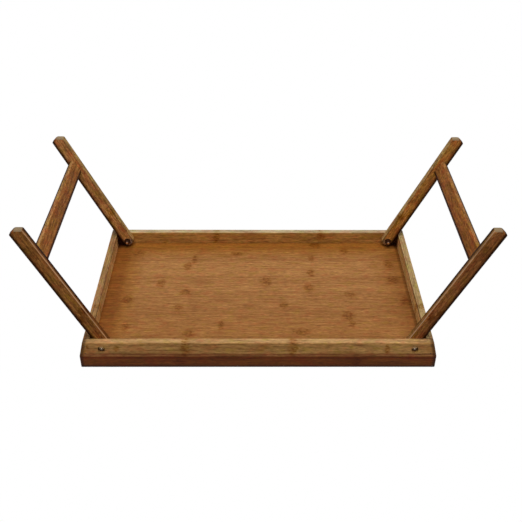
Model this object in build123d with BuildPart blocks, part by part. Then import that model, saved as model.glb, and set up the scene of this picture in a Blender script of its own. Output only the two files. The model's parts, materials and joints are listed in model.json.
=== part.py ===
from build123d import *
from math import cos, radians, sin
import os

# Folding tray table of laminated bamboo: a shallow tray with a frame of four
# rails, and two splayed leg frames that fold flat into the recess under it.
#
# Frame: millimetres, feet on Z = 0, +Z up, +X along the tray, front towards -Y.
# The origin is the middle of the floor area under the table. The legs are drawn
# open, resting against the end rails.

os.makedirs("parts", exist_ok=True)

# ---------------------------------------------------------------- driving sizes
table_height = 220.0        # floor to the top of the rim
tray_length = 500.0         # over the rim
tray_width = 300.0

rail_height = 41.0          # rim and apron together
rail_thickness = 15.0       # at the rim
rim_height = 20.0           # upright band round the top
apron_inset = 5.0           # how far the apron slopes in below the rim
rail_chamfer = 0.8          # eased long edges of the rails
corner_round = 2.0          # softened outside corners of the tray

panel_thickness = 5.0
tray_depth = 15.0           # rim down to the panel
groove_depth = 4.0          # how far the panel enters the rails
panel_clearance = 0.2       # play of the panel in its grooves

leg_lean = 26.0             # degrees from upright, legs open
leg_width = 20.0
leg_thickness = 10.0
leg_chamfer = 1.8           # well eased edges of the leg bars
fold_clearance = 1.0        # folded legs to the panel
stop_clearance = 0.3        # open legs to the end rails
side_clearance = 0.3        # each face of a leg to what stands beside it
toe_height = 7.8            # bevel at the outer corner of each foot
toe_run = 7.5
toe_round = 2.2             # bevel into the side of the leg
sole_round = 6.0            # bevel into the flat of the foot
heel_round = 3.0

crossbar_distance = 155.0   # pivot to the middle of the crossbar
crossbar_width = 24.6
crossbar_thickness = 10.0
crossbar_offset = 1.5       # off the middle of the leg, away from the tray
crossbar_round = 4.0
tenon_length = 6.0
tenon_shoulder = 3.5        # edges of the crossbar to the tenon
tenon_cheek = 2.0           # faces of the crossbar to the tenon
glue_gap = 0.1

shank_diameter = 5.0
running_clearance = 0.08    # radial, leg on screw
fitting_clearance = 0.04    # radial, screw in rail, nut and washer
head_diameter = 8.0
head_height = 1.8
head_bevel = 0.9            # height of the bevel round the head
head_bevel_run = 1.4
head_sink = 1.0             # head below the middle of its place on the apron
counterbore_clearance = 0.5
recess_width = 1.1          # cross recess of the screw
recess_length = 4.4
recess_depth = 1.0
tip_chamfer = 0.6
washer_diameter = 10.0
washer_thickness = 1.0
nut_flats = 8.0
nut_height = 3.2
collar_diameter = 7.0       # round collar of the lock nut
collar_height = 1.3
tip_length = 0.8            # screw standing out of the nut

brad_width = 1.6            # flat-sided wire brads
brad_height = 1.4
brad_length = 24.0
brad_sink = 0.4
brad_levels = (5.0, 16.0)   # above the lower edge of the apron
brad_inset = 6.0            # middle of the end rail from its inner face

# ---------------------------------------------------------------- worked out
rim_z = table_height
arris_z = rim_z - rim_height
apron_z = rim_z - rail_height
half_length = tray_length / 2
half_width = tray_width / 2
inner_half_length = half_length - rail_thickness
inner_half_width = half_width - rail_thickness

panel_top = rim_z - tray_depth
panel_bottom = panel_top - panel_thickness
panel_length = 2 * (inner_half_length + groove_depth - panel_clearance)
panel_width = 2 * (inner_half_width + groove_depth - panel_clearance)

pivot_z = panel_bottom - fold_clearance - leg_width / 2
lean = radians(leg_lean)
# The outer face of the open leg stops just short of the end rail's lower edge.
stop_reach = leg_width / 2 + stop_clearance + (pivot_z - apron_z) * sin(lean)
pivot_x = inner_half_length - stop_reach / cos(lean)

leg_outer_y = inner_half_width - side_clearance
leg_inner_y = leg_outer_y - leg_thickness
nut_y = leg_inner_y - washer_thickness - side_clearance
nut_end_y = nut_y - nut_height - collar_height
tip_y = nut_end_y - tip_length


def apron_setback(z):
    """How far the outer face of a rail stands inside the rim at height z."""
    return apron_inset * max(0.0, arris_z - z) / (arris_z - apron_z)


head_face_y = half_width - apron_setback(pivot_z) - head_sink
seat_y = head_face_y - head_height

brad_x = inner_half_length + brad_inset

sides = {"left": -1, "right": 1}
faces = {"front": -1, "back": 1}
corners = {f"{face_name}_{side_name}": (face, side)
           for face_name, face in faces.items() for side_name, side in sides.items()}


def leg_distance(height, across):
    """Distance along the leg at which a line across it is at a height above the floor."""
    return (pivot_z - height + across * sin(lean)) / cos(lean)


def leg_plane(side, y):
    """Plane of a leg frame: origin on the pivot axis, x down the leg, y outwards."""
    down = (side * sin(lean), 0, -cos(lean))
    return Plane(origin=(side * pivot_x, y, pivot_z), x_dir=down, z_dir=(0, -side, 0))


def pivot_axis(side):
    return Axis((side * pivot_x, 0, pivot_z), (0, 1, 0))


# ---------------------------------------------------------------- tray panel
with BuildPart() as panel:
    with Locations((0, 0, panel_bottom)):
        Box(panel_length, panel_width, panel_thickness, align=(Align.CENTER, Align.CENTER, Align.MIN))
panel.part.label = "tray_panel"
export_step(panel.part, "parts/tray_panel.step")

# ---------------------------------------------------------------- rails
# The outside of the tray: upright at the rim, then sloping in on all four sides.
with BuildPart() as outside:
    with BuildSketch(Plane.XY.offset(arris_z)):
        RectangleRounded(tray_length, tray_width, corner_round)
    extrude(amount=rim_height)
    with BuildSketch(Plane.XY.offset(arris_z)):
        RectangleRounded(tray_length, tray_width, corner_round)
    with BuildSketch(Plane.XY.offset(apron_z)):
        RectangleRounded(tray_length - 2 * apron_inset, tray_width - 2 * apron_inset, corner_round)
    loft()
    chamfer(outside.faces().sort_by(Axis.Z)[-1].edges(), length=rail_chamfer)
    chamfer(outside.faces().sort_by(Axis.Z)[0].edges(), length=rail_chamfer)


def brad_outer_y(level):
    """Sunk head of a brad, under the apron's outer face."""
    return half_width - apron_setback(apron_z + level) - brad_sink


groove_height = panel_thickness + panel_clearance

# The long rails run the whole length and the end rails stand between them.
for name, face in faces.items():
    with BuildPart() as rail:
        with Locations((0, face * (half_width - rail_thickness / 2), apron_z)):
            Box(tray_length, rail_thickness, rail_height, align=(Align.CENTER, Align.CENTER, Align.MIN))
        inner_face = rail.faces().sort_by(Axis.Y)[0 if face > 0 else -1]
        chamfer(inner_face.edges().filter_by(Axis.X), length=rail_chamfer)
        add(outside.part, mode=Mode.INTERSECT)

        # The groove stops where the panel does, so it doesn't show at the ends.
        with Locations((0, face * inner_half_width, panel_bottom)):
            Box(panel_length + 2 * panel_clearance, 2 * groove_depth, groove_height,
                align=(Align.CENTER, Align.CENTER, Align.MIN), mode=Mode.SUBTRACT)

        # Bores for the two pivot screws, with a flat counterbore for each head.
        for side in sides.values():
            with BuildSketch(Plane.XZ.offset(-face * inner_half_width)):
                with Locations((side * pivot_x, pivot_z)):
                    Circle(shank_diameter / 2 + fitting_clearance)
            extrude(amount=-face * rail_thickness, mode=Mode.SUBTRACT)
            with BuildSketch(Plane.XZ.offset(-face * seat_y)):
                with Locations((side * pivot_x, pivot_z)):
                    Circle(head_diameter / 2 + counterbore_clearance)
            extrude(amount=-face * rail_thickness, mode=Mode.SUBTRACT)

            # Holes for the corner brads.
            with BuildSketch(Plane.XZ.offset(-face * inner_half_width)):
                with Locations(*[(side * brad_x, apron_z + level) for level in brad_levels]):
                    Rectangle(brad_width + 2 * fitting_clearance, brad_height + 2 * fitting_clearance)
            extrude(amount=-face * rail_thickness, mode=Mode.SUBTRACT)
    rail.part.label = f"{name}_rail"
    export_step(rail.part, f"parts/{name}_rail.step")

for name, side in sides.items():
    with BuildPart() as end_rail:
        with Locations((side * (half_length - rail_thickness / 2), 0, apron_z)):
            Box(rail_thickness, 2 * inner_half_width, rail_height, align=(Align.CENTER, Align.CENTER, Align.MIN))
        inner_face = end_rail.faces().sort_by(Axis.X)[0 if side > 0 else -1]
        chamfer(inner_face.edges().filter_by(Axis.Y), length=rail_chamfer)
        add(outside.part, mode=Mode.INTERSECT)
        with Locations((side * inner_half_length, 0, panel_bottom)):
            Box(2 * groove_depth, 2 * inner_half_width, groove_height,
                align=(Align.CENTER, Align.CENTER, Align.MIN), mode=Mode.SUBTRACT)
        # The brads enter the end grain from the long rails.
        for face in faces.values():
            for level in brad_levels:
                with BuildSketch(Plane.XZ.offset(-face * (brad_outer_y(level) - brad_length - glue_gap))):
                    with Locations((side * brad_x, apron_z + level)):
                        Rectangle(brad_width + 2 * fitting_clearance, brad_height + 2 * fitting_clearance)
                extrude(amount=-face * brad_length, mode=Mode.SUBTRACT)
    end_rail.part.label = f"{name}_end_rail"
    export_step(end_rail.part, f"parts/{name}_end_rail.step")

# ---------------------------------------------------------------- corner brads
for corner, (face, side) in corners.items():
    with BuildPart() as brads:
        for level in brad_levels:
            with BuildSketch(Plane.XZ.offset(-face * brad_outer_y(level))):
                with Locations((side * brad_x, apron_z + level)):
                    Rectangle(brad_width, brad_height)
            extrude(amount=face * brad_length)
    brads.part.label = f"{corner}_corner_brads"
    export_step(brads.part, f"parts/{corner}_corner_brads.step")

# ---------------------------------------------------------------- legs
half_leg = leg_width / 2
toe_top = leg_distance(toe_height, half_leg)          # outer corner of the bevel
# The bevel meets the flat of the foot a run nearer the tray's middle.
toe_x = toe_top * sin(lean) + half_leg * cos(lean) - toe_run
toe_across = toe_x * cos(lean) - pivot_z * sin(lean)
toe_foot = leg_distance(0, toe_across)
heel = leg_distance(0, -half_leg)

tenon_width = crossbar_width - 2 * tenon_shoulder
tenon_thickness = crossbar_thickness - 2 * tenon_cheek

for corner, (face, side) in corners.items():
    with BuildPart() as leg:
        with BuildSketch(leg_plane(side, face * leg_inner_y)):
            with BuildLine():
                ThreePointArc((0, -half_leg), (-half_leg, 0), (0, half_leg))
                FilletPolyline((0, half_leg), (toe_top, half_leg), (toe_foot, toe_across),
                               (heel, -half_leg), (0, -half_leg),
                               radius=[toe_round, sole_round, heel_round])
            make_face()
        extrude(amount=-face * side * leg_thickness)
        leg_faces = leg.faces().sort_by(Axis.Y)
        chamfer(leg_faces[0].edges() + leg_faces[-1].edges(), length=leg_chamfer)
        # Bore for the pivot screw and the mortise for the crossbar's tenon.
        with BuildSketch(leg_plane(side, face * leg_inner_y)):
            Circle(shank_diameter / 2 + running_clearance)
        extrude(amount=-face * side * leg_thickness, mode=Mode.SUBTRACT)
        with BuildSketch(leg_plane(side, face * leg_inner_y)):
            with Locations((crossbar_distance, crossbar_offset)):
                SlotOverall(tenon_width + 2 * glue_gap, tenon_thickness + 2 * glue_gap)
        extrude(amount=-face * side * (tenon_length + glue_gap), mode=Mode.SUBTRACT)
    leg.part.label = f"{corner}_leg"
    export_step(leg.part, f"parts/{corner}_leg.step")

# ---------------------------------------------------------------- crossbars
for name, side in sides.items():
    with BuildPart() as crossbar:
        with BuildSketch(leg_plane(side, 0)):
            with Locations((crossbar_distance, crossbar_offset)):
                RectangleRounded(crossbar_width, crossbar_thickness, crossbar_round)
        extrude(amount=leg_inner_y, both=True)
        with BuildSketch(leg_plane(side, 0)):
            with Locations((crossbar_distance, crossbar_offset)):
                SlotOverall(tenon_width, tenon_thickness)
        extrude(amount=leg_inner_y + tenon_length, both=True)
    crossbar.part.label = f"{name}_crossbar"
    export_step(crossbar.part, f"parts/{name}_crossbar.step")

# ---------------------------------------------------------------- pivots
# Each leg turns on a machine screw through the long rail, held by a lock nut.
shank_radius = shank_diameter / 2
head_radius = head_diameter / 2

for corner, (face, side) in corners.items():
    with BuildPart() as screw:
        with BuildSketch(Plane(origin=(side * pivot_x, 0, pivot_z))):
            with BuildLine():
                Polyline((0, face * tip_y), (shank_radius - tip_chamfer, face * tip_y),
                         (shank_radius, face * (tip_y + tip_chamfer)), (shank_radius, face * seat_y),
                         (head_radius, face * seat_y), (head_radius, face * (head_face_y - head_bevel)),
                         (head_radius - head_bevel_run, face * head_face_y), (0, face * head_face_y),
                         close=True)
            make_face()
        revolve(axis=pivot_axis(side))
        with Locations((side * pivot_x, face * head_face_y, pivot_z)):
            Box(recess_length, 2 * recess_depth, recess_width, mode=Mode.SUBTRACT)
            Box(recess_width, 2 * recess_depth, recess_length, mode=Mode.SUBTRACT)
    screw.part.label = f"{corner}_pivot_screw"
    export_step(screw.part, f"parts/{corner}_pivot_screw.step")

    with BuildPart() as washer:
        with BuildSketch(Plane.XZ.offset(-face * leg_inner_y)):
            with Locations((side * pivot_x, pivot_z)):
                Circle(washer_diameter / 2)
                Circle(shank_radius + fitting_clearance, mode=Mode.SUBTRACT)
        extrude(amount=face * washer_thickness)
    washer.part.label = f"{corner}_washer"
    export_step(washer.part, f"parts/{corner}_washer.step")

    with BuildPart() as nut:
        with BuildSketch(Plane.XZ.offset(-face * nut_y)):
            with Locations((side * pivot_x, pivot_z)):
                RegularPolygon(nut_flats / 2, 6, major_radius=False)
        extrude(amount=face * nut_height)
        with BuildSketch(Plane.XZ.offset(-face * (nut_y - nut_height))):
            with Locations((side * pivot_x, pivot_z)):
                Circle(collar_diameter / 2)
        extrude(amount=face * collar_height)
        with BuildSketch(Plane.XZ.offset(-face * nut_y)):
            with Locations((side * pivot_x, pivot_z)):
                Circle(shank_radius + fitting_clearance)
        extrude(amount=face * (nut_height + collar_height), mode=Mode.SUBTRACT)
    nut.part.label = f"{corner}_lock_nut"
    export_step(nut.part, f"parts/{corner}_lock_nut.step")
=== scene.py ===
import json
from math import pi, radians
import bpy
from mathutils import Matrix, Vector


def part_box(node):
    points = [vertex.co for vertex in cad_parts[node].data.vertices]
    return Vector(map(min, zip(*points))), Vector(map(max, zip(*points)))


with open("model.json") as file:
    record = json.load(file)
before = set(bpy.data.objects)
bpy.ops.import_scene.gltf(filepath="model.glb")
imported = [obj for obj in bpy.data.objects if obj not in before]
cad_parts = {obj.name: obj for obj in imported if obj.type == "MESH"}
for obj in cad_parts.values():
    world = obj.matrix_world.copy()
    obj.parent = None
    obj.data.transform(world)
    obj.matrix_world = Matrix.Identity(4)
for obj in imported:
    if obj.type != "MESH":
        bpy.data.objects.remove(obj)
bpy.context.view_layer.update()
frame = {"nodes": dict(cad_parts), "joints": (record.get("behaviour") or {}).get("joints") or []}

from types import SimpleNamespace

import bmesh
import bpy
from mathutils import Matrix, Vector

# ------------------------------------------------------------------ tray panel
# The floor of the tray: a board of carbonised bamboo, glued up edge to edge from
# strips about 20 mm wide and lacquered satin. It floats in grooves in the rails.
panel_strip = 0.0205
panel_colours = ((0.513, 0.241, 0.075, 1), (0.289, 0.113, 0.029, 1), (0.36, 0.125, 0.034, 1))
knot_blush = (0.84, 0.76, 0.58, 1)
knot_mark = (0.65, 0.53, 0.3, 1)
# Painted shadow in the corners behind the pivots, under the tray and on the rails' inner faces.
corner_shadow_tone = (0.22, 0.14, 0.1, 1)
panel_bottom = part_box("tray_panel")[0][2]
frame_inner_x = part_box("right_end_rail")[0][0]
frame_inner_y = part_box("back_rail")[0][1]

# Where the painted shadow in the corners starts and where it is full: from a corner of the frame, and in
# height.
corner_shadow_reach = (0.020, 0.008)
underside = (panel_bottom + 0.0030, panel_bottom + 0.0022)

# The joints of the cane: middle x and y, half length and half width, in millimetres.
panel_knots = [
    (104, 84, 5, 13), (114, 67, 7, 11), (153, 21, 7, 11), (112, -2, 9, 9), (200, -22, 8, 10),
    (121, -41, 8, 10), (195, -85, 6, 11), (54, -81, 5, 12), (101, -100, 9, 9), (-13, 26, 8, 12),
    (-39, -34, 7, 10), (-64, -97, 13, 8), (-85, 50, 6, 12), (-79, 9, 8, 12), (-88, 90, 5, 10),
    (-145, 113, 8, 9), (-144, -8, 9, 9), (-135, -60, 10, 12), (-139, -78, 5, 9), (-213, 73, 8, 12),
    (-214, 30, 10, 11), (-227, -25, 9, 12), (-97, 130, 9, 9), (35, 103, 9, 6), (198, 105, 10, 9),
]

# Tones along the rails, partly lacquer that lies thick there and partly painted shade beside
# them, the last a line of painted shadow at the joints: its tone, and for each rail the axis,
# where the tone starts and where it is full, in metres, and how strong it is there.
panel_lacquer_and_shade = [
    ((0.72, 0.60, 0.34, 1), [("x", 0.185, 0.218, 0.9), ("y", 0.096, 0.126, 0.95),
                             ("x", -0.170, -0.250, 1.0), ("y", 0.0, -0.120, 0.4)]),
    ((1.00, 0.97, 0.80, 1), [("x", 0.178, 0.203, 1.0), ("y", 0.085, 0.110, 1.0)]),
    ((0.82, 0.74, 0.72, 1), [("x", 0.205, 0.219, 1.0)]),
    ((0.90, 0.90, 0.97, 1), [("x", -0.205, -0.224, 1.0)]),
    ((0.70, 0.70, 0.64, 1), [("x", -0.2292, -0.2318, 1.0), ("y", -0.103, -0.109, 0.55)]),
]


def shade(tree, kind, *values, **settings):
    """Add a shader node. Values fill its sockets in order: a socket is linked, None is left as it is."""
    made = tree.nodes.new("ShaderNode" + kind)
    for name, value in settings.items():
        setattr(made, name, value)
    for socket, value in zip(made.inputs, values):
        if isinstance(value, bpy.types.NodeSocket):
            tree.links.new(value, socket)
        elif value is not None:
            socket.default_value = value
    return made


def sums(tree, operation, *values):
    """A Math node's result."""
    return shade(tree, "Math", *values, operation=operation).outputs[0]


def unsigned(tree, value):
    """The value without its sign."""
    return sums(tree, "ABSOLUTE", value)


def parts(tree, vector):
    """A vector's three parts."""
    return shade(tree, "SeparateXYZ", vector).outputs


def length(tree, vector):
    """A vector's length."""
    return shade(tree, "VectorMath", vector, operation="LENGTH").outputs["Value"]


def spread(tree, value, low, high, to_low=0.0, to_high=1.0):
    """The value brought smoothly from one range to another."""
    return shade(tree, "MapRange", value, low, high, to_low, to_high,
                 interpolation_type="SMOOTHSTEP").outputs[0]


def overlap(tree, *masks):
    """Where all the masks are: their product."""
    product = masks[0]
    for mask in masks[1:]:
        product = sums(tree, "MULTIPLY", product, mask)
    return product


def any_of(tree, *masks):
    """Where any of the masks is: the largest."""
    largest = masks[0]
    for mask in masks[1:]:
        largest = sums(tree, "MAXIMUM", largest, mask)
    return largest


def all_but(tree, mask):
    """Everywhere but where the mask is."""
    return sums(tree, "SUBTRACT", 1.0, mask)


def tint(tree, factor, first, second, way="MIX"):
    """Two colours mixed by a factor."""
    mixed = shade(tree, "Mix", data_type="RGBA", blend_type=way)
    for socket, value in ((mixed.inputs[0], factor), (mixed.inputs[6], first), (mixed.inputs[7], second)):
        if isinstance(value, bpy.types.NodeSocket):
            tree.links.new(value, socket)
        else:
            socket.default_value = value
    return mixed.outputs[2]


def times(tree, factor, colour, tone):
    """The colour multiplied by a tone as far as the factor says."""
    return tint(tree, factor, colour, tint(tree, 1.0, colour, tone, "MULTIPLY"))


def grain(tree, board, along, across, detail=3.0):
    """Noise with so many waves to the metre along the cane, and more of them across it."""
    squeezed = shade(tree, "VectorMath", board, (along, across, across), operation="MULTIPLY").outputs[0]
    return shade(tree, "TexNoise", squeezed, None, 1.0, detail, 0.6).outputs[0]


def knotted(tree, board, colour, knots, every, strip_tone):
    """The joints of the cane, at the places listed or one every so far along each strip: a reddened
    patch, ragged at its edge, with short dark dashes in it."""
    along, across, _ = parts(tree, board)
    mottle = grain(tree, board, 130, 230)
    dashes = grain(tree, board, 190, 420, 2.0)
    raggedness = 2.2
    ragged = shade(tree, "Math", mottle, raggedness, -raggedness / 2, operation="MULTIPLY_ADD").outputs[0]

    # reach is 0 in the middle of the nearest knot and 1 at its edge.
    if every:
        half_knot, stagger = 0.006, 7.3
        shift = sums(tree, "MULTIPLY", strip_tone, stagger)
        cell = sums(tree, "FRACT", sums(tree, "ADD", sums(tree, "DIVIDE", along, every), shift))
        off_middle = unsigned(tree, sums(tree, "SUBTRACT", cell, 0.5))
        reach = sums(tree, "MULTIPLY", off_middle, every / half_knot)
    else:
        flat = shade(tree, "CombineXYZ", along, across, 0.0).outputs[0]
        far_off = 9.0
        reach = far_off
        for x, y, half_length, half_width in knots:
            squeeze = Vector((1000 / half_length, 1000 / half_width, 0))
            centre = Vector((-x / half_length, -y / half_width, 0))
            away = shade(tree, "VectorMath", flat, squeeze, centre, operation="MULTIPLY_ADD").outputs[0]
            reach = sums(tree, "MINIMUM", reach, length(tree, away))
    reach = sums(tree, "ADD", reach, ragged)
    colour = times(tree, spread(tree, reach, 1.5, 0.4), colour, knot_blush)
    marks = overlap(tree, spread(tree, reach, 1.1, 0.5), spread(tree, dashes, 0.42, 0.6))
    return times(tree, marks, colour, knot_mark)


def bamboo(name, colours, place=(0, 0, 0), turn=(0, 0, 0), strip=0.02, knots=(), every=0.0,
           shorter=1.0, clouded=0.0, contrast=1.0, sheen=0.12, rounding=0.0, marks_and_shade=None):
    """Lacquered bamboo in a light, a dark and a red colour. place and turn carry the cane's own
    axes, length first, onto the piece. shorter cuts its streaks short, clouded is the strength of
    patches and flecks, contrast that of the broad streaks, and stain colours the piece by place,
    with its stains and its painted light and shade."""
    light, dark, red = colours
    deep = [part * 0.55 for part in dark[:3]] + [1]
    material = bpy.data.materials.new(name)
    material.use_nodes = True
    tree = material.node_tree
    tree.nodes.clear()
    own = shade(tree, "TexCoord").outputs
    board = shade(tree, "Mapping", own["Object"], place, turn, vector_type="TEXTURE").outputs[0]
    facing = shade(tree, "Mapping", own["Normal"], None, turn, vector_type="TEXTURE").outputs[0]

    # Strips: each has its own tone, with a thin glue line on either side.
    row = sums(tree, "DIVIDE", parts(tree, board)[1], strip)
    strip_number = sums(tree, "FLOOR", row)
    strip_tone = shade(tree, "TexWhiteNoise", None, strip_number, noise_dimensions="1D").outputs[0]
    off_middle = unsigned(tree, sums(tree, "SUBTRACT", sums(tree, "FRACT", row), 0.5))
    glue = spread(tree, off_middle, 0.47, 0.497)

    # Streaks, from dark to light.
    broad = grain(tree, board, 6 * shorter, 50)
    streak = grain(tree, board, 14 * shorter, 430, 4.0)
    thread = grain(tree, board, 60 * shorter, 1100, 2.0)
    line = grain(tree, board, 7 * shorter, 280, 2.0)
    streak_share, broad_share, strip_share = 0.85, 0.45, 0.10
    evened = shade(tree, "Math", broad, broad_share * contrast, broad_share * (1 - contrast) / 2,
                   operation="MULTIPLY_ADD").outputs[0]
    tone = sums(tree, "ADD", sums(tree, "MULTIPLY", streak, streak_share), evened)
    tone = sums(tree, "ADD", tone, sums(tree, "MULTIPLY", strip_tone, strip_share))
    colour = tint(tree, spread(tree, tone, 0.5, 0.9), dark, light)

    # Reddened stretches, threads and lines, and the glue lines.
    flush = grain(tree, board, 17 * shorter, 46, 2.0)
    colour = tint(tree, spread(tree, flush, 0.52, 0.7, 0.0, 0.7 * contrast), colour, red)
    colour = tint(tree, spread(tree, thread, 0.34, 0.2, 0.0, 0.4), colour, light)
    colour = tint(tree, spread(tree, thread, 0.56, 0.74, 0.0, 0.5), colour, deep)
    colour = tint(tree, spread(tree, line, 0.52, 0.66, 0.0, 0.45 * contrast), colour, deep)
    colour = tint(tree, spread(tree, line, 0.45, 0.33, 0.0, 0.35 * contrast), colour, light)
    colour = tint(tree, sums(tree, "MULTIPLY", glue, 0.3), colour, deep)
    if clouded:
        yellow_patch, red_patch = (0.86, 1.0, 0.55, 1), (1.05, 0.78, 0.8, 1)
        dark_fleck, pale_fleck = (0.45, 0.4, 0.4, 1), (1.5, 1.5, 1.5, 1)
        patch = grain(tree, board, 60, 110, 2.0)
        colour = times(tree, spread(tree, patch, 0.5, 0.7, 0.0, clouded), colour, yellow_patch)
        colour = times(tree, spread(tree, patch, 0.48, 0.32, 0.0, clouded), colour, red_patch)
        fleck = grain(tree, board, 65 * shorter, 620, 2.0)
        colour = times(tree, spread(tree, fleck, 0.48, 0.7, 0.0, clouded), colour, dark_fleck)
        colour = times(tree, spread(tree, fleck, 0.46, 0.3, 0.0, clouded), colour, pale_fleck)
    if knots or every:
        colour = knotted(tree, board, colour, knots, every, strip_tone)
    if marks_and_shade:
        wood = SimpleNamespace(place=own["Object"], normal=own["Normal"], board=board, facing=facing,
                               broad=broad)
        colour = marks_and_shade(tree, wood, colour)

    # Satin lacquer over open grain, its edges eased where the piece asks for it.
    grain_strength, grain_depth = 0.3, 0.0002
    dull, glossy = 0.56, 0.42
    relief = shade(tree, "Bump", grain_strength, grain_depth, None, sums(tree, "ADD", streak, thread))
    if rounding:
        tree.links.new(shade(tree, "Bevel", rounding, samples=4).outputs[0], relief.inputs["Normal"])
    skin = shade(tree, "BsdfPrincipled", colour)
    tree.links.new(spread(tree, streak, 0.2, 0.8, dull, glossy), skin.inputs["Roughness"])
    skin.inputs["Specular IOR Level"].default_value = sheen
    tree.links.new(relief.outputs[0], skin.inputs["Normal"])
    shade(tree, "OutputMaterial", skin.outputs[0])
    return material


def finish(node, material):
    """Give every face of a CAD node this material."""
    for slot in frame["nodes"][node].material_slots:
        slot.material = material


def cornered(tree, x, y):
    """How deep in one of the four corners inside the frame, from 0 to 1."""
    from_corner = shade(tree, "CombineXYZ", sums(tree, "SUBTRACT", unsigned(tree, x), frame_inner_x),
                        sums(tree, "SUBTRACT", unsigned(tree, y), frame_inner_y), 0.0).outputs[0]
    return spread(tree, length(tree, from_corner), *corner_shadow_reach)


def pooled_and_shaded(tree, wood, colour):
    """Lacquer and painted shade along the rails; under the tray, painted shadow in the corners behind the
    pivots.
    """
    x, y, z = parts(tree, wood.place)
    for tone, rails in panel_lacquer_and_shade:
        near = [spread(tree, x if axis == "x" else y, start, full, 0.0, strength)
                for axis, start, full, strength in rails]
        colour = times(tree, any_of(tree, *near), colour, tone)
    underneath = spread(tree, z, *underside)
    return times(tree, overlap(tree, cornered(tree, x, y), underneath), colour, corner_shadow_tone)


finish("tray_panel", bamboo("panel_bamboo", panel_colours, strip=panel_strip, knots=panel_knots,
                            shorter=2.0, clouded=0.55, contrast=0.3, marks_and_shade=pooled_and_shaded))

# ------------------------------------------------------------------ rails
# Four bars of laminated bamboo round the panel: an upright rim above, and below it
# an apron that slopes in. The lower edge is pale from planing and lightened further with painted
# light; the apron is lightened and the rim darkened partly with painted light and shade.
# The long bars run through, and the end bars stand between them, glued and bradded.
rail_colours = ((0.36, 0.165, 0.045, 1), (0.20, 0.078, 0.018, 1), (0.27, 0.09, 0.022, 1))
end_light = (0.20, 0.10, 0.04, 1)
end_dark = (0.05, 0.022, 0.009, 1)
# Rim and apron: partly their own tones, partly painted shade on the rim and painted light on the apron.
rim_tone = (0.9, 0.56, 0.35, 1)
apron_tone = (1.86, 2.16, 2.6, 1)
turned_tone = (0.56, 0.4, 0.37, 1)
# A painted highlight along a line just below the arris.
painted_arris_highlight = (1.4, 1.6, 2.0, 1)
seam_tone = (0.8, 0.6, 0.43, 1)
# Painted shade toward the rim's top edge, at the ends of the long bars and in the counterbores.
rim_top_shade = (0.42, 0.4, 0.55, 1)
rail_painted_shade = (0.28, 0.24, 0.2, 1)
(_, _, rail_bottom), (rail_end_x, _, rim_top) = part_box("front_rail")
arris = rim_top - 0.020
apron_slope = 5 / 21
bore_radius = 0.0051


def pivot_of(side_name):
    """Where a leg frame turns on its screws."""
    child = side_name + "_leg_frame"
    return next(joint["pos_m"] for joint in frame["joints"] if joint["child"] == child)


pivot_x, _, pivot_z = pivot_of("right")

# Places on a bar where a tone starts and where it is full, in metres: across it, up and
# down, toward its end, and from the middle of a counterbore.
outer_half_x = (frame_inner_x + 0.0065, frame_inner_x + 0.0075)
outer_half_y = (frame_inner_y + 0.0065, frame_inner_y + 0.0075)
below_arris = (arris + 0.0004, arris - 0.0004)
turn_start = (arris - 0.0054, arris - 0.0044)
highlight_start = (arris - 0.0036, arris - 0.0028)
highlight_end = (arris - 0.0012, arris - 0.0018)
lower_edge = (rail_bottom + 0.0025, rail_bottom + 0.0015)
inner_chamfer = (rail_bottom + 0.0022, rail_bottom + 0.0012)
rail_tip = (rail_end_x - 0.0070, rail_end_x - 0.0028)
bore_rim = (bore_radius + 0.0005, bore_radius - 0.0005)

# Bands on the rim: its tone, the heights where it starts and is full, and its strength. The last two are
# painted shade, deepening toward its top edge.
rim_bands = [(seam_tone, arris + 0.0044, arris + 0.0030, 1.0),
             (rim_top_shade, rim_top - 0.0085, rim_top - 0.0010, 1.0),
             (rail_painted_shade, rim_top - 0.0042, rim_top - 0.0022, 0.75)]

# Knots seen from the front: x and z of the middle, half length and half height, in millimetres.
front_rail_knots = [(102, 189, 7, 14), (112, 210, 8, 12), (-48, 187, 7, 12), (-180, 188, 4, 7),
                    (198, 188, 4, 5), (-138, 210, 7, 10), (245, 186, 3, 3), (242, 192, 3, 3),
                    (238, 185, 2, 3)]
back_rail_knots = [(70, 188, 6, 12), (-106, 186, 8, 9), (160, 209, 7, 10), (-30, 210, 7, 9)]


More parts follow.
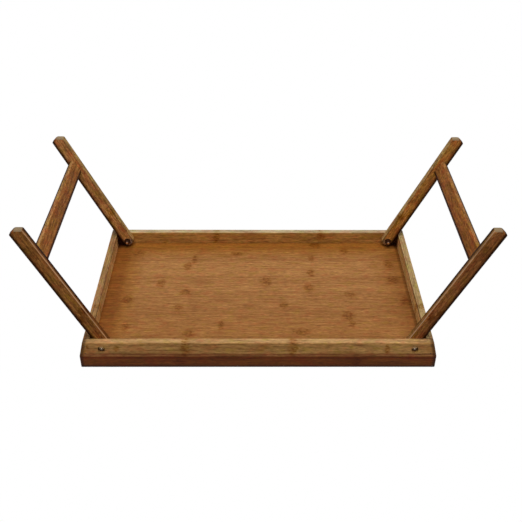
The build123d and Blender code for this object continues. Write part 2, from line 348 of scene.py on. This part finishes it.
def rail_marks_and_shade(edge_tone, painted_inside_light, inner_arris_tone, runs_through=0.0):
    """Stain of a bar, with painted light and shade, in multiples of its own colour. runs_through is 1 for
    a bar with bare ends.
    """
    def marks_and_shade(tree, wood, colour):
        x, y, z = parts(tree, wood.place)
        lean_x, _, lean_z = parts(tree, wood.normal)
        long_way = unsigned(tree, x)
        cross_way = unsigned(tree, y)
        outside = any_of(tree, spread(tree, cross_way, *outer_half_y),
                         spread(tree, long_way, *outer_half_x))
        inside = all_but(tree, outside)
        below = spread(tree, z, *below_arris)

        # Faces are told apart by lean_z, which is 1 where they look up and -1 where they look down.
        level_top = spread(tree, lean_z, 0.8, 0.95)
        edge = overlap(tree, spread(tree, lean_z, -0.78, -0.95), spread(tree, z, *lower_edge))

        # Under the panel: the inner face lightened with painted light, and painted shadow in the corners.
        upright = spread(tree, unsigned(tree, lean_z), 0.9, 0.5)
        lower_inside = overlap(tree, inside, upright, below)
        colour = times(tree, lower_inside, colour, painted_inside_light)
        colour = times(tree, overlap(tree, lower_inside, cornered(tree, x, y)), colour, corner_shadow_tone)

        # Apron, lightened partly with painted light; darker where it turns into the rim, except along one
        # line that carries a painted highlight.
        apron = overlap(tree, outside, below, all_but(tree, edge))
        colour = times(tree, apron, colour, apron_tone)
        turn_zone = spread(tree, z, *turn_start)
        colour = times(tree, overlap(tree, apron, turn_zone), colour, turned_tone)
        highlight_line = overlap(tree, spread(tree, z, *highlight_start), spread(tree, z, *highlight_end))
        colour = times(tree, overlap(tree, apron, highlight_line), colour, painted_arris_highlight)

        # Rim, darkened partly with painted shade, and deepening with painted shade to its top edge.
        rim = overlap(tree, outside, all_but(tree, below))
        colour = times(tree, any_of(tree, rim, level_top), colour, rim_tone)
        rim = overlap(tree, rim, all_but(tree, level_top))
        for tone, start, full, strength in rim_bands:
            band = spread(tree, z, start, full, 0.0, strength)
            colour = times(tree, overlap(tree, rim, band), colour, tone)

        # The end of a long bar has drunk more lacquer than its face, and shows its pores; its faces near
        # the end carry painted shade.
        drop = sums(tree, "MAXIMUM", sums(tree, "SUBTRACT", arris, z), 0.0)
        setback = sums(tree, "MULTIPLY", drop, apron_slope)
        reach = sums(tree, "ADD", long_way, setback)
        tip = spread(tree, reach, *rail_tip, 0.0, 0.92)
        colour = times(tree, overlap(tree, tip, runs_through, all_but(tree, level_top)), colour, rail_painted_shade)
        pore_scale = 900.0
        pores = shade(tree, "TexNoise", wood.place, None, pore_scale, 2.0, 0.5).outputs[0]
        end_colour = tint(tree, spread(tree, pores, 0.42, 0.6), end_dark, end_light)
        end_face = overlap(tree, spread(tree, unsigned(tree, lean_x), 0.8, 0.95), runs_through)
        colour = tint(tree, end_face, colour, end_colour)

        # Chamfer between the lower edge and the inner face, in a tone of its own: lighter on the long
        # bars, a line of painted shade on the end bars.
        eased = overlap(tree, spread(tree, lean_z, -0.5, -0.65), spread(tree, lean_z, -0.8, -0.75))
        between = spread(tree, z, *inner_chamfer, 0.0, 1.0 - runs_through)
        inner_arris = overlap(tree, any_of(tree, eased, between), all_but(tree, edge), inside)
        colour = times(tree, inner_arris, colour, inner_arris_tone)

        # Painted shadow in the counterbores.
        from_pivot = shade(tree, "CombineXYZ", sums(tree, "SUBTRACT", long_way, pivot_x), 0.0,
                           sums(tree, "SUBTRACT", z, pivot_z)).outputs[0]
        away = length(tree, from_pivot)
        bore = spread(tree, away, *bore_rim, 0.0, 0.6)
        colour = times(tree, bore, colour, rail_painted_shade)
        # The lower edge: pale from planing, and lightened further with painted light.
        return times(tree, edge, colour, edge_tone)
    return marks_and_shade


# Tones of each bar's lower edge, inner face and inner chamfer: painted light and shade over the wood's
# own.
for node, knots, edge_tone in (("front_rail", front_rail_knots, (1.83, 2.41, 3.7, 1)),
                               ("back_rail", back_rail_knots, (1.83, 3.22, 7.0, 1))):
    marks_and_shade = rail_marks_and_shade(edge_tone, painted_inside_light=(1.97, 2.3, 2.33, 1), inner_arris_tone=(1.3, 1.5, 1.8, 1),
                   runs_through=1.0)
    finish(node, bamboo(node + "_bamboo", rail_colours, turn=(pi / 2, 0, 0), strip=0.022, knots=knots,
                        shorter=2.0, clouded=0.6, rounding=0.0005, marks_and_shade=marks_and_shade))
for node, edge_tone in (("left_end_rail", (1.54, 2.35, 3.86, 1)),
                        ("right_end_rail", (1.24, 1.54, 2.17, 1))):
    marks_and_shade = rail_marks_and_shade(edge_tone, painted_inside_light=(2.88, 4.05, 6.0, 1), inner_arris_tone=(0.35, 0.3, 0.25, 1))
    finish(node, bamboo(node + "_bamboo", rail_colours, turn=(pi / 2, 0, pi / 2), every=0.24,
                        shorter=2.0, clouded=0.7, rounding=0.0005, marks_and_shade=marks_and_shade))

# ------------------------------------------------------------------ leg frames
# Each frame is two bars with a crossbar tenoned between them. The legs have well eased
# edges, a round end at the pivot and a foot cut level with the floor. Their outer and rear
# edges and toes are darkened with painted shade, each face has its own tone of painted light
# and shade, and their feet are worn pale.
leg_lean = radians(26)
leg_colours = ((0.46, 0.18, 0.036, 1), (0.20, 0.066, 0.012, 1), (0.30, 0.085, 0.016, 1))
end_grain = (0.31, 0.225, 0.13, 1)
# Painted shade on the outer and rear edges and toes of the legs, and along a crossbar's edges.
painted_edge_shade = (0.1, 0.07, 0.05, 1)
greyed = (0.5, 0.72, 1.6, 1)
# Painted light on the rim of a leg's round end.
painted_end_light = (1.1, 1.6, 2.6, 1)

# Places on a leg where a tone starts and where it is full, in metres: outward from its
# middle line (its edges are at 0.010), rearward from its middle (its faces are at 0.005)
# and from the pivot to the foot.
outer_shade = (0.0024, 0.0072)
arris_start = (-0.0058, -0.0070)
arris_end = (-0.0088, -0.0080)
inner_corner = (-0.0080, -0.0088)
worn_and_highlit_line = (-0.0086, -0.0092)
rear_shade = (-0.0034, 0.0006)
front_side = (-0.0030, -0.0038)
foot_front = (0.0045, 0.0030)
past_pivot = (0.035, 0.085)
greyed_end = (0.007, -0.003)
lit_end = (0.003, -0.003)

# Multiples of a leg's own colour, as painted light and shade, on its wide faces, its inner
# narrow face and the arris between them, the colour of the pale line on the arris, partly wear
# and partly painted highlight, if it has one, and how much painted shade there is behind.
leg_tones = {
    "front_right": dict(wide_tone=(1.55, 1.7, 2.16, 1), narrow_tone=(0.85, 0.85, 1.0, 1),
                        arris_tone=(1, 1, 1, 1), line_colour=(0.80, 0.48, 0.26, 1), shade_behind=0.95),
    "back_right": dict(wide_tone=(2.2, 2.7, 4.4, 1), narrow_tone=(1.55, 2.5, 4.4, 1),
                       arris_tone=(0.82, 0.8, 0.8, 1), line_colour=None, shade_behind=0.1),
    "front_left": dict(wide_tone=(1.38, 1.39, 2.07, 1), narrow_tone=(1.1, 1.45, 2.4, 1),
                       arris_tone=(1, 1, 1, 1), line_colour=(0.66, 0.42, 0.26, 1), shade_behind=0.95),
    "back_left": dict(wide_tone=(1.98, 2.26, 2.58, 1), narrow_tone=(1.3, 2.1, 4.0, 1),
                      arris_tone=(0.82, 0.85, 0.8, 1), line_colour=None, shade_behind=0.1),
}

# The same for a crossbar: toward its ends, from the pivot to its nearer edge, and outward.
# Each crossbar's tone for its side, and the paler tone toward its feet and ends: painted light and shade.
crossbar_tones = {"left": (0.95, 0.89, 0.95, 1), "right": (1.13, 1.17, 1.42, 1)}
crossbar_painted_light = (1.1, 1.45, 2.2, 1)
crossbar_end = (0.108, 0.122)
crossbar_near_edge = (0.1496, 0.1466)
crossbar_outer_arris = (0.0006, 0.0024)


def leg_marks_and_shade(outward, middle_y, wide_tone, narrow_tone, arris_tone, line_colour, shade_behind):
    """Stain and painted light and shade of a leg. outward is 1 or -1, the way its outer side lies across
    the cane.
    """
    def marks_and_shade(tree, wood, colour):
        _, facing_across, facing_through = parts(tree, wood.facing)
        from_pivot, across, _ = parts(tree, wood.board)
        upright_x, _, upright_z = parts(tree, wood.normal)
        facing_out = sums(tree, "MULTIPLY", facing_across, outward)
        flat = unsigned(tree, facing_through)
        out = sums(tree, "MULTIPLY", across, outward)
        rear = sums(tree, "SUBTRACT", parts(tree, wood.place)[1], middle_y)

        # Wide faces and the inner narrow face, each in its own tone of painted light and shade.
        wide = spread(tree, flat, 0.85, 0.97)
        colour = times(tree, wide, colour, wide_tone)
        narrow = overlap(tree, spread(tree, flat, 0.45, 0.25), spread(tree, facing_out, 0.0, -0.4))
        if not line_colour:
            chamfer = overlap(tree, all_but(tree, wide), spread(tree, out, *inner_corner))
            narrow = any_of(tree, narrow, chamfer)
        colour = times(tree, narrow, colour, narrow_tone)

        # The round end: greyed by grease and steel, with painted light on its rim.
        round_end = spread(tree, from_pivot, *greyed_end)
        colour = times(tree, overlap(tree, wide, round_end), colour, greyed)
        lit_end_rim = overlap(tree, all_but(tree, wide), spread(tree, from_pivot, *lit_end),
                           all_but(tree, narrow))
        colour = times(tree, lit_end_rim, colour, painted_end_light)

        # The inner arris, darker on the back legs with painted shade.
        inner_arris = overlap(tree, spread(tree, out, *arris_start), spread(tree, out, *arris_end))
        colour = times(tree, inner_arris, colour, arris_tone)

        # Painted shade on the outer arris and the face beside it, on the rear arris and on the toe.
        beside = overlap(tree, spread(tree, out, *outer_shade),
                         spread(tree, wood.broad, 0.25, 0.5, 0.85, 1.0))
        behind = overlap(tree, spread(tree, rear, *rear_shade, 0.0, shade_behind), all_but(tree, wide),
                         spread(tree, from_pivot, *past_pivot, 0.25, 1.0))
        toe = overlap(tree, spread(tree, upright_z, -0.4, -0.6),
                      spread(tree, unsigned(tree, upright_x), 0.5, 0.7, 0.0, 0.6))
        off_outer_face = spread(tree, facing_out, 0.97, 0.85, 0.12, 1.0)
        shaded_edges = overlap(tree, any_of(tree, beside, behind, toe), off_outer_face)
        colour = times(tree, shaded_edges, colour, painted_edge_shade)
        # A pale line on the inner arris of the front legs: partly wear, partly painted highlight.
        if line_colour:
            line = overlap(tree, spread(tree, out, *worn_and_highlit_line), spread(tree, rear, *front_side),
                           spread(tree, wood.broad, 0.3, 0.6, 0.5, 0.85))
            colour = tint(tree, line, colour, line_colour)

        # The flat of the foot.
        level = overlap(tree, spread(tree, upright_z, -0.55, -0.68),
                        spread(tree, unsigned(tree, upright_x), 0.6, 0.35),
                        spread(tree, rear, *foot_front, 0.3, 0.85))
        return tint(tree, level, colour, end_grain)
    return marks_and_shade


def crossbar_light_and_shade(outward, pivot, leg_turn, tone):
    """Painted light and shade of a crossbar: one tone for its side, painted light on the narrow face
    toward the feet and at its ends, and painted shade along the other edge and along the outer arris."""
    def marks_and_shade(tree, wood, colour):
        leg_place = shade(tree, "Mapping", wood.place, pivot, leg_turn, vector_type="TEXTURE").outputs[0]
        leg_facing = shade(tree, "Mapping", wood.normal, None, leg_turn, vector_type="TEXTURE").outputs[0]
        from_pivot, across, _ = parts(tree, leg_place)
        foot_way, facing_across, _ = parts(tree, leg_facing)
        out = sums(tree, "MULTIPLY", across, outward)
        outer_face = spread(tree, sums(tree, "MULTIPLY", facing_across, outward), 0.7, 0.9)
        end = unsigned(tree, parts(tree, wood.place)[1])
        colour = times(tree, 1.0, colour, tone)
        pale = any_of(tree, spread(tree, foot_way, 0.4, 0.8), spread(tree, end, *crossbar_end, 0.0, 0.5))
        colour = times(tree, pale, colour, crossbar_painted_light)
        outer_arris = overlap(tree, spread(tree, foot_way, 0.2, 0.5),
                              spread(tree, out, *crossbar_outer_arris))
        dark = any_of(tree, spread(tree, from_pivot, *crossbar_near_edge, 0.0, 0.95), outer_arris)
        return times(tree, overlap(tree, dark, all_but(tree, outer_face)), colour, painted_edge_shade)
    return marks_and_shade


for side_name, side in (("left", -1), ("right", 1)):
    pivot = pivot_of(side_name)
    leg_turn = (pi / 2, pi / 2 - side * leg_lean, 0)
    for face in ("front", "back"):
        corner = f"{face}_{side_name}"
        (_, low_y, _), (_, high_y, _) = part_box(corner + "_leg")
        finish(corner + "_leg",
               bamboo(corner + "_leg_bamboo", leg_colours, place=pivot, turn=leg_turn, every=0.2,
                      shorter=4.0, clouded=0.8, sheen=0.03, rounding=0.0015,
                      marks_and_shade=leg_marks_and_shade(side, (low_y + high_y) / 2, **leg_tones[corner])))
    finish(side_name + "_crossbar",
           bamboo(side_name + "_crossbar_bamboo", leg_colours, turn=(0, 0, pi / 2),
                  shorter=4.0, clouded=0.8, sheen=0.03, rounding=0.001,
                  marks_and_shade=crossbar_light_and_shade(side, pivot, leg_turn, crossbar_tones[side_name])))

# ------------------------------------------------------------------ pivots
# Machine screws, washers and lock nuts in brown steel. Lacquer has crept over the edge of
# each screw head, its cross recess is dark with painted shade round a painted highlight, and a
# painted highlight lies on the screw's point. The brads have dark heads.
nut_brown = (0.13, 0.075, 0.055, 1)
brad_black = (0.12, 0.09, 0.07, 1)
head_lacquer = (0.30, 0.18, 0.08, 1)
# Painted shade in the recess, and painted highlights in its middle and on the point.
recess_shade = (0.055, 0.03, 0.016, 1)
recess_highlight = (0.62, 0.5, 0.38, 1)
point_highlight = (1.0, 0.9, 0.75, 1)

# Where one tone of a screw gives way to the next: three distances from its middle line, and
# one, from the middle of the table, between its head and its point.
recess_middle = (0.0008, 0.0014)
head_edge = (0.0023, 0.0031)
point_edge = (0.0016, 0.0021)
head_depth = (0.135, 0.130)


def steel(name, colour, roughness):
    """Metal of one colour."""
    material = bpy.data.materials.new(name)
    material.use_nodes = True
    skin = material.node_tree.nodes["Principled BSDF"]
    skin.inputs["Base Color"].default_value = colour
    skin.inputs["Metallic"].default_value = 1.0
    skin.inputs["Roughness"].default_value = roughness
    return material


def screw_steel(name, pivot):
    """A screw: a painted highlight in the middle of its recess, painted shade round it, lacquered at
    the edge of its head, and a painted highlight on its point."""
    material = steel(name, nut_brown, 0.3)
    tree = material.node_tree
    place = shade(tree, "TexCoord").outputs["Object"]
    from_pivot = shade(tree, "Mapping", place, [-part for part in pivot]).outputs[0]
    away = length(tree, shade(tree, "VectorMath", from_pivot, (1, 0, 1), operation="MULTIPLY").outputs[0])
    recess = tint(tree, spread(tree, away, *recess_middle), recess_highlight, recess_shade)
    head = tint(tree, spread(tree, away, *head_edge), recess, head_lacquer)
    point = tint(tree, spread(tree, away, *point_edge), point_highlight, nut_brown)
    inward = spread(tree, unsigned(tree, parts(tree, place)[1]), *head_depth)
    tree.links.new(tint(tree, inward, head, point),
                   tree.nodes["Principled BSDF"].inputs["Base Color"])
    return material


pivot_steel = steel("pivot_steel", nut_brown, 0.3)
brad_steel = steel("brad_steel", brad_black, 0.5)
for side_name in ("left", "right"):
    pivot = pivot_of(side_name)
    side_screw_steel = screw_steel(side_name + "_screw_steel", pivot)
    for face in ("front", "back"):
        corner = f"{face}_{side_name}"
        finish(corner + "_pivot_screw", side_screw_steel)
        finish(corner + "_washer", pivot_steel)
        finish(corner + "_lock_nut", pivot_steel)
        finish(corner + "_corner_brads", brad_steel)

# ------------------------------------------------------------------ floor and light
# A pale studio floor under the feet. It is open from below, where the camera looks up
# at the underside of the tray, and it throws no shadow and no light on the table.
floor_size = 8.0
floor_grey = (0.86, 0.86, 0.86, 1)
floor_mesh = bpy.data.meshes.new("floor")
bm = bmesh.new()
bmesh.ops.create_grid(bm, x_segments=1, y_segments=1, size=floor_size / 2)
bm.to_mesh(floor_mesh)
bm.free()
floor = bpy.data.objects.new("floor", floor_mesh)
bpy.context.scene.collection.objects.link(floor)
floor_paint = bpy.data.materials.new("floor_paint")
floor_paint.use_nodes = True
tree = floor_paint.node_tree
tree.nodes.clear()
paint = shade(tree, "BsdfDiffuse", floor_grey)
clear = shade(tree, "BsdfTransparent")
below = shade(tree, "NewGeometry").outputs["Backfacing"]
one_sided = shade(tree, "MixShader", below, paint.outputs[0], clear.outputs[0])
shade(tree, "OutputMaterial", one_sided.outputs[0])
floor_mesh.materials.append(floor_paint)
floor.visible_shadow = False
floor.visible_diffuse = False
floor.visible_glossy = False
floor.visible_transmission = False

# The room: white where it is seen or mirrored, and a low even fill on the table.
white = (1, 1, 1, 1)
white_level = 1.0
fill_level = 0.18
world = bpy.data.worlds.new("studio")
bpy.context.scene.world = world
world.use_nodes = True
tree = world.node_tree
tree.nodes.clear()
rays = shade(tree, "LightPath").outputs
seen = any_of(tree, rays["Is Camera Ray"], rays["Is Glossy Ray"], rays["Is Transmission Ray"])
backdrop = shade(tree, "Background", white, white_level)
fill = shade(tree, "Background", white, fill_level)
room = shade(tree, "MixShader", seen, fill.outputs[0], backdrop.outputs[0])
shade(tree, "OutputWorld", room.outputs[0])


def soft_box(name, place, aim, side, power):
    """A square lamp that points at a place."""
    data = bpy.data.lights.new(name, "AREA")
    data.size = side
    data.energy = power
    box = bpy.data.objects.new(name, data)
    bpy.context.scene.collection.objects.link(box)
    way = Vector(aim) - Vector(place)
    box.matrix_world = Matrix.Translation(place) @ way.to_track_quat("-Z", "Y").to_matrix().to_4x4()


tray_middle = (0, 0, 0.19)
soft_box("lamp_below", (0.0, -0.25, -1.7), tray_middle, side=1.6, power=31)
soft_box("lamp_above", (0.2, 0.6, 2.0), tray_middle, side=1.6, power=31)

# ------------------------------------------------------------------ camera
# Below the floor and a little in front, looking up at the underside, and turned half a
# turn, so that the legs point up in its view.
camera_place = (0.00523, -0.95958, -0.53534)
camera_heading = radians(0.57)
camera_rise = radians(35.21)
camera_roll = pi + radians(0.38)
camera_data = bpy.data.cameras.new("camera")
camera_data.lens = 53.5
camera_data.sensor_width = 36.0
camera_data.clip_end = 50.0
camera = bpy.data.objects.new("camera", camera_data)
bpy.context.scene.collection.objects.link(camera)
camera.matrix_world = (Matrix.Translation(camera_place)
                       @ Matrix.Rotation(camera_heading, 4, "Z")
                       @ Matrix.Rotation(pi / 2 + camera_rise, 4, "X")
                       @ Matrix.Rotation(camera_roll, 4, "Z"))
bpy.context.scene.camera = camera
bpy.context.scene.view_settings.view_transform = "Standard"
